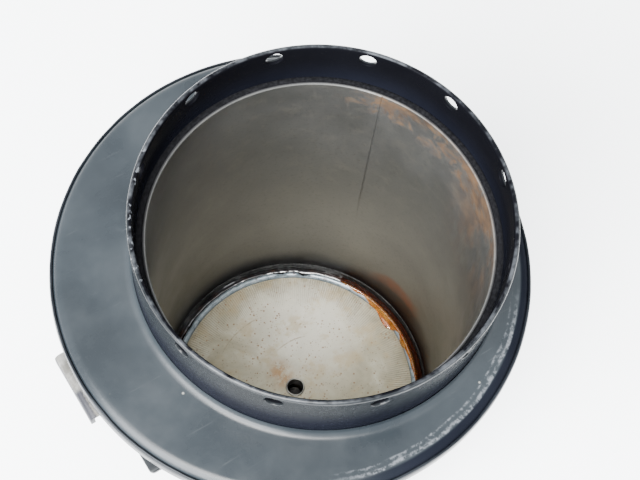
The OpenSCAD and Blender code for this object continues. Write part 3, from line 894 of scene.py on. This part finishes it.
def rim_hem():
    """The crimped hem: its lap edge wanders a little, as a rolled seam does."""
    r_in = ROLL_R + GAP
    outer = arc(ROLL_X, ROLL_Z, r_in + HEM_T, 0, HEM_LAP, 10)
    tip_x, tip_z = turned(r_in + HEM_T / 2, HEM_LAP)
    nose = arc(ROLL_X + tip_x, ROLL_Z + tip_z, HEM_T / 2, HEM_LAP, HEM_LAP + 180, 6)
    inner = arc(ROLL_X, ROLL_Z, r_in, HEM_LAP, 0, 6)
    low = hem_low.z
    foot = [(ROLL_X + r_in, low + HEM_T), (HEM_R - 3.2, low + HEM_T), (HEM_R - 3.4, low + HEM_T / 2),
            (HEM_R - 3.2, low)]
    corner = arc(HEM_R - 0.9, low + 0.9, 0.9, -90, 0, 6)
    profile = outer + nose[1:-1] + inner + foot + corner
    top_rows = len(outer) + len(nose) - 2 + 3

    def warp(angle, r, z, row):
        x, y = turned(r, angle)
        if 4 < row < top_rows:
            share = min(1.0, (row - 4) / 6)
            slide = share * (0.16 * grain(x, y, 0, 6, 2) + 0.07 * grain(x, y, 0, 1.7, 4) - 0.04)
            r -= slide * 0.7
            z += slide * 0.55
        return r + 0.05 * grain(x, y, z, 9), z

    lathe("rim_hem_sheet", profile, HEM, "rim_hem", segs=720, centre=(HEM_X, HEM_Y), warp=warp, sharp=50)


def flange_backplate():
    """The shoulder's lower sheet, with its bore round the shell and its upturned edge."""
    segs = 360
    bore = SHELL_R + GAP
    up = (back_high.x - back_low.x) / 2
    low, high = back_low.z, back_high.z
    bm = bmesh.new()
    rings = []
    for s in range(segs):
        hem_a = radians(360 * s / segs)
        edge_x, edge_y = HEM_X + (up - 2) * cos(hem_a), HEM_Y + (up - 2) * sin(hem_a)
        a = atan2(edge_y, edge_x)
        ring = [(bore * cos(a), bore * sin(a), low)]
        for k in range(1, 8):
            t = k / 8
            x = bore * cos(a) * (1 - t) + edge_x * t
            y = bore * sin(a) * (1 - t) + edge_y * t
            ring.append((x, y, low + 0.12 * sin(pi * t) * (1 + grain(x, y, 0, 12, 5))))
        rim = [(up, high), (up - SHEET_T, high), (up - SHEET_T, low + SHEET_T)]
        for r, z in arc(up - 1.2, low + 1.2, 1.2, -90, 0, 6) + rim:
            ring.append((HEM_X + r * cos(hem_a), HEM_Y + r * sin(hem_a), z))
        ring.append((bore * cos(a), bore * sin(a), low + SHEET_T))
        rings.append([vert(bm, x, y, z) for x, y, z in ring])
    join_rings(bm, rings)
    piece("flange_backplate_sheet", bm, SHELL, "flange_backplate")


def body_shell():
    """The can's outer wall: two stiffening beads, a welded seam and small dents."""
    inside = SHELL_R - 1.35
    profile = [(SHELL_R, shell_low.z), (SHELL_R, 20), (SHELL_R, 30)]
    for z in (40, 84):
        profile.append((SHELL_R, z - 2.2))
        profile += [(SHELL_R + 1.1 * exp(-(d / 0.9) ** 2), z + d) for d in
                    [-1.8 + 0.3 * i for i in range(13)]]
        profile.append((SHELL_R, z + 2.2))
        profile += [(SHELL_R, z + 5 + 6 * i) for i in range(6)]
    profile += [(SHELL_R, 122), (SHELL_R, 128), (SHELL_R, shell_high.z - 0.3), (SHELL_R - 0.3, shell_high.z)]
    profile += [(inside + 0.3, shell_high.z), (inside, shell_high.z - 0.3), (inside, shell_low.z)]
    outer_rows = len(profile) - 5

    def warp(angle, r, z, row):
        if row < outer_rows:
            x, y = turned(r, angle)
            r += 0.10 * grain(x, y, z, 18, 9) - 0.05
            r += 0.22 * bump_at(angle, SHELL_SEAM_ANGLE, 1.6) * (1 + 0.3 * sin(z * 3.1))
        return r, z

    lathe("body_shell_sheet", profile, SHELL, "body_shell", segs=400, warp=warp, sharp=50)


def inner_sleeve():
    """The bright sleeve, rolled from one sheet: a lapped seam and a faintly uneven wall."""
    out = SLEEVE_R + SLEEVE_T
    heights = [sleeve_low.z + (sleeve_high.z - 0.25 - sleeve_low.z) * i / 40 for i in range(41)]
    profile = [(SLEEVE_R, z) for z in heights]
    profile += [(SLEEVE_R + 0.2, sleeve_high.z), (out - 0.2, sleeve_high.z), (out, sleeve_high.z - 0.25),
                (out, sleeve_low.z)]

    def warp(angle, r, z, row):
        if row < len(heights):
            off = (angle - SEAM_ANGLE + 180) % 360 - 180
            deep = min(1.0, max(0.0, (z - 50) / 40))
            lap = 0.09 * deep * max(0.0, 1 - off / 9) if off >= 0 else 0.0
            groove = 0.12 * deep * bump_at(angle, SEAM_ANGLE - 0.3, 0.4)
            wave = 0.05 * grain(angle / 3, 0, z, 9, 6) + 0.03 * grain(angle, 0, z, 22, 1)
            r += wave - lap + groove + 0.05
        return r, z

    lathe("inner_sleeve_sheet", profile, SLEEVE, "inner_sleeve", segs=900, warp=warp, sharp=25)


def spacer_ring():
    low, high = spacer_low.z, spacer_high.z
    r_in, r_out = SLEEVE_R + SLEEVE_T + GAP, spacer_high.x
    profile = [(r_in, low), (r_out, low), (r_out, high - 0.1), (r_out - 0.3, high), (r_in + 0.3, high),
               (r_in, high - 0.15)]

    def warp(angle, r, z, row):
        return r, z + (0.12 * grain(angle / 2, 0, 0, 3) if row > 1 else 0)

    lathe("sleeve_spacer_packing", profile, SPACER, "sleeve_spacer_ring", segs=360, warp=warp)


def bottom_pan():
    """The drawn pan: a shallow dish whose edge is gathered into radial wrinkles."""
    rim = PAN_R - EDGE_W - GAP
    top = pan_high.z
    hole = DRAIN_R + 0.45
    rng = random.Random(7)
    folds = PAN_FOLDS
    gain = [rng.uniform(0.35, 1.0) for _ in range(folds)]
    reach = [rng.uniform(3.5, 8.5) for _ in range(folds)]
    radii = [hole, 4, 7, 11, 15, 19, 23, 26] + [27.5 + 0.6 * i for i in range(int((rim - 27.5) / 0.6))]
    radii += [rim - 0.35, rim]
    profile = []
    for r in radii:
        t = r / rim
        profile.append((r, top - 0.95 * (1 - t ** 3) - 0.12 * max(0.0, t - 0.97) / 0.03))
    surface_rows = len(profile)
    profile += [(rim, seat_low.z + 1.4), (rim - 0.9, seat_low.z + 1.4), (rim - 0.9, top - 1.1),
                (hole, top - 1.85)]

    def warp(angle, r, z, row):
        if row < surface_rows:
            x, y = turned(r, angle)
            turn = angle / 360 * folds
            fold = int(turn) % folds
            fade = max(0.0, 1 - (rim - r) / reach[fold])
            fade *= min(1.0, max(0.0, (rim - r) / 0.8))
            z += 0.085 * gain[fold] * fade * sin(2 * pi * turn)
            z += 0.10 * grain(x, y, 0, 9, 8) * min(1.0, (rim - r) / 3)
        return r, z

    lathe("bottom_pan_sheet", profile, PAN, "bottom_pan", segs=folds * 6, warp=warp, sharp=60)


def pan_edge_ring():
    """The pan's rolled edge: a flattened roll, with one dip on its far side."""
    r_in, r_out = PAN_R - EDGE_W, PAN_R
    low, high = edge_low.z, edge_high.z
    crown = arc((r_in + r_out) / 2, high - 0.9, 0.9, 0, 60, 6)
    step = [(r_out - 0.75, high - 0.08), (r_out - 0.95, high - 0.3)]
    step += [(r_in + 0.55, high - 0.34), (r_in + 0.2, high - 0.6), (r_in, high - 1.1)]
    profile = [(r_in, low), (r_out, low)] + crown + step

    def warp(angle, r, z, row):
        if row > 1:
            dip = 1.0 * bump_at(angle, 54, 4.6) + 0.45 * bump_at(angle, 65, 4) + 0.2 * bump_at(angle, 118, 4)
            z += 0.05 * grain(angle, 0, 0, 5) - 0.7 * dip
            r -= 0.9 * dip if r > PAN_R - 1.1 else 0.0
        return r, z

    lathe("pan_edge_roll", profile, EDGE, "pan_edge_ring", segs=540, warp=warp, sharp=50)


def groove_sealant():
    """The compound in the groove: a lumpy wet bead that climbs the wall here and there."""
    r_in, r_out = PAN_R + GAP, SLEEVE_R - GAP
    low, high = groove_low.z, groove_high.z
    width = r_out - r_in
    top = [(r_out - width * i / 10, high - 0.6 + 0.6 * sin(pi * i / 10)) for i in range(11)]
    profile = [(r_in, low), (r_out, low)] + top

    def warp(angle, r, z, row):
        if row > 1:
            z += 0.28 * grain(angle / 1.6, r, 0, 6) + 0.15 * grain(angle, r, 0, 2.2, 3) - 0.15
            z += 0.7 * max(0.0, (r - r_out + 0.5) / 0.5) * (0.5 + 0.5 * grain(angle / 3, 0, 0, 4, 8))
        return r, z

    lathe("groove_compound", profile, SEALANT, "groove_sealant", segs=540, warp=warp, sharp=80)


def fuel_residue():
    """A pool of amber residue that lies over the pan's edge and in the groove on the +X side."""
    start, end = -30.0, 36.0
    segs = 160
    across = 14
    bm = bmesh.new()
    tops, floors = [], []
    for s in range(segs + 1):
        t = s / segs
        angle = start + (end - start) * t
        swell = sin(pi * t) ** 0.6
        tongue = 1.5 + 1.1 * grain(angle / 4, 0, 0, 1.6, 5)
        inner = PAN_R - 0.3 - swell * tongue - 1.4 * bump_at(angle, 6, 9)
        outer = SLEEVE_R - 0.1
        top, floor = [], []
        for k in range(across + 1):
            u = k / across
            r = inner + (outer - inner) * u
            over_edge = exp(-((r - (PAN_R - 0.6)) / 0.95) ** 2)
            bed = pan_high.z + 0.05 + (edge_high.z - pan_high.z) * over_edge
            if r > PAN_R - 0.2:
                bed = min(bed, edge_high.z - 0.9 * (r - PAN_R + 0.2))
            skin = 0.26 * sin(pi * min(1.0, u * 1.25)) ** 0.5 * swell if u < 0.8 else 0.26 * swell
            z = bed + skin + 0.02
            top.append(vert(bm, *turned(r, angle), z))
            floor.append(vert(bm, *turned(r, angle), bed - 0.12))
        tops.append(top)
        floors.append(floor)
    for s in range(segs):
        for k in range(across):
            bm.faces.new((tops[s][k], tops[s + 1][k], tops[s + 1][k + 1], tops[s][k + 1]))
            bm.faces.new((floors[s][k], floors[s][k + 1], floors[s + 1][k + 1], floors[s + 1][k]))
        for k in (0, across):
            bm.faces.new((tops[s][k], floors[s][k], floors[s + 1][k], tops[s + 1][k]))
    for row in (0, segs):
        for k in range(across):
            bm.faces.new((tops[row][k], tops[row][k + 1], floors[row][k + 1], floors[row][k]))
    piece("fuel_residue_pool", bm, RESIDUE, sharp=70)


def pan_seat():
    low, high = seat_low.z, seat_high.z
    shelf = low + 1.2
    r_out = seat_high.x
    r_wall = SLEEVE_R + 0.1
    bore = 30.0
    profile = [(bore, low), (r_out, low), (r_out, high - 0.2), (r_out - 0.2, high)]
    profile += [(r_wall + 0.15, high), (r_wall, high - 0.15)] + arc(r_wall - 0.6, shelf + 0.6, 0.6, 0, -90, 4)
    profile += [(bore + 0.3, shelf), (bore, shelf - 0.3)]
    lathe("pan_seat_shelf", profile, SEAT, "pan_seat", segs=240)


def drain_eyelet():
    """A flanged eyelet with a turned-over rim, which frames the drain hole."""
    low, high = [corner.z for corner in box_mm("drain_eyelet")]
    r_out = DRAIN_R + 0.4
    rim = arc(DRAIN_R + 0.22, high - 0.3, 0.3, 180, 0, 8)
    flange = 6.0
    profile = [(DRAIN_R, low), (DRAIN_R, high - 2)] + rim
    profile += [(r_out, high - 1.2), (r_out, high - 2.4), (flange, high - 2.4)]
    profile += [(flange, high - 2.9), (r_out, high - 3.0), (r_out, low)]

    def warp(angle, r, z, row):
        return r, z + (0.06 * grain(angle, 0, 0, 30) if 1 < row < 10 else 0)

    lathe("drain_eyelet_rim", profile, EYELET, "drain_eyelet", segs=96, warp=warp)


def bottom_cap():
    low, high = cap_low.z, cap_high.z
    corner = 5.0
    bend = SHELL_R - corner
    hole = STEM_HOLE
    profile = [(hole, low), (20, low), (28, low), (30, low + 0.8), (33, low + 0.8), (35, low)]
    profile += arc(bend, low + corner, corner, -90, 0, 12) + [(SHELL_R, high), (SHELL_R - CAP_T, high)]
    profile += arc(bend, low + corner, corner - CAP_T, 0, -90, 8)
    profile += [(r, low + CAP_T) for r in (35, 20, hole)]

    def warp(angle, r, z, row):
        x, y = turned(r, angle)
        return r, z + (0.08 * grain(x, y, 0, 10) if r < 34 else 0)

    lathe("bottom_cap_pressing", profile, SHELL, "bottom_cap", segs=300, warp=warp)


def seam_ring():
    low, high = seam_low.z, seam_high.z
    r_in, r_out = SHELL_R + GAP, seam_high.x
    profile = [(r_in, low)] + arc(r_out - 0.45, low + 0.45, 0.45, -90, 0, 5)
    middle = (low + high) / 2
    profile += [(r_out, middle - 0.4), (r_out - 0.18, middle), (r_out, middle + 0.4)]
    profile += arc(r_out - 0.45, high - 0.45, 0.45, 0, 90, 5) + [(r_in, high)]

    def warp(angle, r, z, row):
        return r + (0.05 * grain(angle, z, 0, 7) if r > r_in + 0.2 else 0), z

    lathe("body_seam_roll", profile, HEM, "body_seam_ring", segs=400, warp=warp)


def foot_ring():
    low, high = foot_low.z, foot_high.z
    wall_in, wall_out = foot_high.x - 2.4 - 1.6, foot_high.x - 2.4
    edge = foot_high.x
    profile = arc(wall_in + 0.9, low + 0.9, 0.9, 180, 270, 6) + arc(edge - 0.7, low + 0.7, 0.7, -90, 90, 8)
    profile += [(wall_out + 0.9, low + 1.55)] + arc(wall_out + 0.9, low + 2.4, 0.9, 270, 180, 5)
    profile += [(wall_out, high), (wall_in, high)]
    lathe("foot_ring_pressing", profile, SHELL, "foot_ring", segs=300)


def drain_boss():
    low, high = boss_low.z, boss_high.z
    bore = THREAD_BORE
    flange = boss_high.x
    stem = 7.0
    profile = [(bore + 0.6, low), (flange - 0.5, low), (flange, low + 0.5), (flange, low + 1.6),
               (flange - 0.4, low + 2)]
    profile += [(stem + 0.3, low + 2), (stem, low + 2.3)]
    rings = int((high - low - 3) / 0.5)
    for i in range(rings):
        profile += [(stem - 0.28, low + 2.6 + 0.5 * i), (stem, low + 2.85 + 0.5 * i)]
    profile += [(stem - 0.5, high), (bore + 0.5, high), (bore, high - 0.5), (bore, low + 0.6)]
    lathe("drain_boss_turned", profile, TURNED, "drain_boss", segs=120)


def hex_radius(angle, across_flats):
    return across_flats / 2 / cos(radians(angle % 60 - 30))


def hex_nut_into(bm, across_flats, low, high, bore, centre=(0.0, 0.0)):
    """A hexagon nut with turned chamfers and a countersunk hole."""
    flat = across_flats / 2
    sink = 0.4
    profile = [(bore, low + sink), (bore + sink, low), (flat - 0.1, low), (ON_HEX, low), (ON_HEX, high),
               (flat - 0.1, high),
               (bore + sink, high), (bore, high - sink)]

    def warp(angle, r, z, row):
        if r == ON_HEX:
            r = hex_radius(angle, across_flats)
            cut = (r - flat + 0.12) * 0.55
            z += cut if row == 3 else -cut
        return r, z

    lathe_into(bm, profile, 72, centre, warp)


def boss_locknut():
    low, high = box_mm("boss_locknut")
    bm = bmesh.new()
    hex_nut_into(bm, 19, low.z, high.z, STEM_HOLE)
    piece("boss_locknut_hex", bm, ZINC, "boss_locknut")


def boss_gasket():
    low, high = box_mm("boss_gasket")
    middle = (low.z + high.z) / 2
    profile = [(STEM_HOLE, low.z), (high.x - 0.1, low.z), (high.x + 0.05, middle)]
    profile += [(high.x - 0.1, high.z), (STEM_HOLE, high.z)]

    def warp(angle, r, z, row):
        return r + (0.08 * grain(angle, 0, 0, 6) if r > 9 else 0), z

    lathe("boss_gasket_fibre", profile, GASKET, "boss_gasket", segs=120, warp=warp)


def drain_screw():
    """The drain screw: hexagon head with a hollow, threaded shank and cone tip."""
    low, high = screw_low.z, screw_high.z
    head_h = 2.2
    head_top = low + head_h
    shank = 3.96
    root = 3.5
    cone = high - 3.8
    flats = 13.0
    duct = 1.1
    rows = 84
    face = flats / 2 - 0.2
    profile = [(0.01, low + 5), (duct, low + 5), (duct, low + 0.3), (duct + 0.3, low), (face, low)]
    profile += [(ON_HEX, low), (ON_HEX, head_top), (face, head_top), (root + 0.2, head_top)]
    first_thread = len(profile)
    profile += [(shank, head_top + (cone - head_top) * i / rows) for i in range(1, rows + 1)]
    last_thread = len(profile)
    profile += [(shank - 0.2, cone + 0.15), (1.9, high), (0.01, high)]

    def warp(angle, r, z, row):
        if r == ON_HEX:
            r = hex_radius(angle, flats)
            cut = (r - flats / 2 + 0.2) * 0.5
            z += cut if row == 5 else -cut
        elif first_thread <= row < last_thread:
            phase = ((z - low) / THREAD_PITCH - angle / 360) % 1
            r = root + (shank - root) * min(1.0, 2.4 * (0.5 - abs(phase - 0.5)))
        return r, z

    lathe("drain_screw_turned", profile, BRASS, "drain_screw", segs=96, warp=warp, body="drain", sharp=50)


def drain_washer():
    low, high = box_mm("drain_washer")
    bore, r_out = THREAD_BORE, high.x
    profile = [(bore, low.z + 0.15), (bore + 0.15, low.z), (r_out - 0.2, low.z), (r_out, low.z + 0.2),
               (r_out, high.z - 0.2)]
    profile += [(r_out - 0.2, high.z), (5.9, high.z), (5.7, high.z - 0.12), (5.3, high.z - 0.12),
                (5.1, high.z)]
    profile += [(bore + 0.15, high.z), (bore, high.z - 0.15)]
    lathe("drain_washer_ring", profile, COPPER, "drain_washer", segs=120, body="seal")


def tommy_bar():
    """The cross bar, with its two swaged ball ends."""
    half = bar_high.y - 1.05
    z = (bar_low.z + bar_high.z) / 2
    r = 0.8
    ball = 1.0
    profile = [(0.005, -half - ball)] + arc(0, -half, ball, -75, 40, 8)
    profile += [(r, along) for along in (-half + 1.2, -half + 5, 0, half - 5, half - 1.2)]
    profile += arc(0, half, ball, -40, 75, 8) + [(0.005, half + ball)]
    bm = bmesh.new()
    lathe_into(bm, profile, 32)
    bmesh.ops.rotate(bm, cent=(0, 0, 0), matrix=Matrix.Rotation(radians(90), 3, "X"), verts=bm.verts)
    bmesh.ops.translate(bm, vec=(0, 0, z * MM), verts=bm.verts)
    piece("drain_tommy_bar_rod", bm, BAR, "drain_tommy_bar", body="drain", sharp=60)


def bracket_saddle():
    """The curved plate that carries the bracket, with rounded corners."""
    low, high = saddle_low.z, saddle_high.z
    r_in, thick = SHELL_R + GAP, 1.5
    corner = 5.0
    columns, rows = 60, 28
    bevel = 0.3
    bm = bmesh.new()
    layers = []
    for r, inset in ((r_in, 0), (r_in + thick - bevel, 0), (r_in + thick, bevel)):
        grid = []
        for k in range(rows + 1):
            z = low + inset + (high - low - 2 * inset) * k / rows
            edge = min(z - low, high - z)
            pull = corner - sqrt(max(0.0, corner ** 2 - (corner - edge) ** 2)) if edge < corner else 0.0
            reach = SADDLE_HALF - degrees((pull + inset) / r_in)
            grid.append([vert(bm, *turned(r, 180 - reach + 2 * reach * j / columns), z)
                         for j in range(columns + 1)])
        layers.append(grid)
    for grid in (layers[0], layers[-1]):
        for k in range(rows):
            for j in range(columns):
                bm.faces.new((grid[k][j], grid[k][j + 1], grid[k + 1][j + 1], grid[k + 1][j]))
    rim = [(0, j) for j in range(columns)] + [(k, columns) for k in range(rows)]
    rim += [(rows, columns - j) for j in range(columns)] + [(rows - k, 0) for k in range(rows)]
    for a, b in zip(layers, layers[1:]):
        for i, (k, j) in enumerate(rim):
            k2, j2 = rim[(i + 1) % len(rim)]
            bm.faces.new((a[k][j], a[k2][j2], b[k2][j2], b[k][j]))
    piece("bracket_saddle_plate", bm, BRACKET, "bracket_saddle", sharp=50)


def bracket_ledge():
    low, high = ledge_low, ledge_high
    inner = SHELL_R + GAP
    turn = degrees(asin(high.y / inner))
    corner = 1.2
    centre = (low.x + corner, low.y + corner)
    outline = [(centre[0] - turned(corner, t)[1], centre[1] - turned(corner, t)[0]) for t in range(0, 91, 15)]
    outline += [(x, -y) for x, y in reversed(outline)]
    outline += [(-inner * cos(radians(t)), inner * sin(radians(t)))
                for t in [turn - 2 * turn * i / 24 for i in range(25)]]
    bolt_x = (nut_low.x + nut_high.x) / 2
    pitch = nut_high.y - NUT_FLATS / 2
    holes = [(bolt_x, s * pitch, 3.3) for s in (-1, 1)] + [(x, 0, 1.55) for x in RIVET_XS]
    bm = bmesh.new()
    plate_into(bm, outline, holes, low.z, high.z, 0.22)
    piece("bracket_ledge_plate", bm, BRACKET, "bracket_ledge")


def bracket_gussets():
    low, high = gusset_low, gusset_high
    outline = [(low.x, high.z), (high.x, high.z), (high.x, low.z), (high.x - 2, low.z), (low.x, high.z - 2)]
    outline = rounded(outline, 0.8)
    bm = bmesh.new()
    upright = Matrix.Rotation(radians(90), 4, "X")
    thick = 1.6
    for y in (low.y, high.y - thick):
        plate_into(bm, outline, [], -y - thick, -y, 0.25, upright)
    piece("bracket_gusset_ribs", bm, BRACKET, "bracket_gussets")


def bracket_weld_nuts():
    bm = bmesh.new()
    x = (nut_low.x + nut_high.x) / 2
    for s in (-1, 1):
        hex_nut_into(bm, NUT_FLATS, nut_low.z, nut_high.z, 3.05, (x, s * (nut_high.y - NUT_FLATS / 2)))
    piece("bracket_nut_pair", bm, ZINC, "bracket_weld_nuts")


def bracket_clip():
    """A bright strip with a turned-down end."""
    low, high = clip_low, clip_high
    thick = 1.2
    bend = 1.6
    outline = [(high.x, high.z), (high.x, high.z - thick)]
    outline += arc(low.x + bend, high.z - bend, bend - thick, 90, 180, 6)
    outline += [(low.x + thick, low.z), (low.x, low.z)]
    outline += arc(low.x + bend, high.z - bend, bend, 180, 90, 8)
    bm = bmesh.new()
    upright = Matrix.Rotation(radians(90), 4, "X")
    plate_into(bm, outline, [], -high.y, -low.y, 0.2, upright)
    piece("bracket_clip_strip", bm, CLIP, "bracket_clip")


def clip_rivets():
    """Two domed rivets through the clip and the ledge."""
    bm = bmesh.new()
    head = 2.6
    dome = 0.75
    for x in RIVET_XS:
        low, high = rivet_low.z, rivet_high.z
        curve = [(turned(head, t)[0], turned(dome, t)[1]) for t in range(0, 89, 11)]
        top = [(r, high - dome + rise) for r, rise in curve]
        base = [(r, low + dome - rise) for r, rise in reversed(curve)]
        profile = [(0.01, low)] + base + [(1.5, low + dome), (1.5, high - dome)] + top + [(0.01, high)]
        lathe_into(bm, profile, 40, (x, 0))
    piece("clip_rivet_pair", bm, ZINC, "clip_rivets", sharp=50)


def weld_beads():
    """Weld runs: the gussets' roots, and the saddle's two upright edges."""
    rng = random.Random(3)
    bm = bmesh.new()
    r = SHELL_R + 1.6
    for y in (gusset_low.y, gusset_high.y):
        inward = 1 if y < 0 else -1
        for side in (-0.25, 1.85):
            yy = y + side * inward
            x = -sqrt(r ** 2 - yy ** 2)
            bead_into(bm, [(x - 0.1, yy, gusset_low.z + 1), (x - 0.1, yy, gusset_high.z - 1)], 0.75, rng)
    for s in (-1, 1):
        x, y = turned(SHELL_R + 0.5, 180 + s * (SADDLE_HALF + 0.6))
        bead_into(bm, [(x, y, saddle_low.z + 5), (x, y, saddle_high.z - 5)], 0.8, rng)
    piece("bracket_weld_beads", bm, BRACKET, sharp=70)


for make in (
        neck_collar, shoulder_plate, rim_hem, flange_backplate, body_shell, inner_sleeve, spacer_ring,
        bottom_pan, pan_edge_ring, groove_sealant, fuel_residue, pan_seat, drain_eyelet, bottom_cap,
        seam_ring, foot_ring, drain_boss, boss_locknut, boss_gasket, drain_screw, drain_washer,
        tommy_bar, bracket_saddle, bracket_ledge, bracket_gussets, bracket_weld_nuts, bracket_clip,
        clip_rivets, weld_beads):
    make()

# ------------------------------------------------- floor, light and camera

floor_mesh = bpy.data.meshes.new("studio_floor")
reach = 3.0
corners = [(-reach, -reach, 0), (reach, -reach, 0), (reach, reach, 0), (-reach, reach, 0)]
floor_mesh.from_pydata(corners, [], [(0, 1, 2, 3)])
floor_mesh.materials.append(floor_finish())
floor = bpy.data.objects.new("studio_floor", floor_mesh)
bpy.context.scene.collection.objects.link(floor)

world = bpy.data.worlds.new("studio")
bpy.context.scene.world = world
world.use_nodes = True
world.node_tree.nodes["Background"].inputs["Color"].default_value = (0.93, 0.97, 1.0, 1)
world.node_tree.nodes["Background"].inputs["Strength"].default_value = 3.2


def softbox(name, azimuth, elevation, distance, size, power, colour=(1, 1, 1)):
    """A square area light aimed at the neck."""
    aim = Vector((0, 0, 0.13))
    a, e = radians(azimuth), radians(elevation)
    away = Vector((cos(a) * cos(e), sin(a) * cos(e), sin(e)))
    light = bpy.data.lights.new(name, "AREA")
    light.size = size
    light.energy = power
    light.color = colour
    obj = bpy.data.objects.new(name, light)
    obj.location = aim + away * distance
    obj.rotation_euler = (-away).to_track_quat("-Z", "Y").to_euler()
    bpy.context.scene.collection.objects.link(obj)


softbox("window", 200, 34, 1.1, 0.9, 110, (0.95, 0.98, 1.0))
softbox("overhead", 215, 66, 1.3, 0.6, 60, (1.0, 0.99, 0.96))

CAMERA_AT = Vector((-84.8, -96.8, 434.9)) * MM
CAMERA_LOOK = Vector((0.2638, 0.3017, -0.9162))
CAMERA_ROLL = 9.71
camera_data = bpy.data.cameras.new("camera")
camera_data.lens = 75.94
camera_data.sensor_width = 36
camera_data.clip_start = 0.01
camera = bpy.data.objects.new("camera", camera_data)
camera.rotation_mode = "QUATERNION"
roll = Matrix.Rotation(radians(CAMERA_ROLL), 3, "Z").to_quaternion()
camera.rotation_quaternion = CAMERA_LOOK.to_track_quat("-Z", "Y") @ roll
camera.location = CAMERA_AT
bpy.context.scene.collection.objects.link(camera)
bpy.context.scene.camera = camera

bpy.context.view_layer.update()
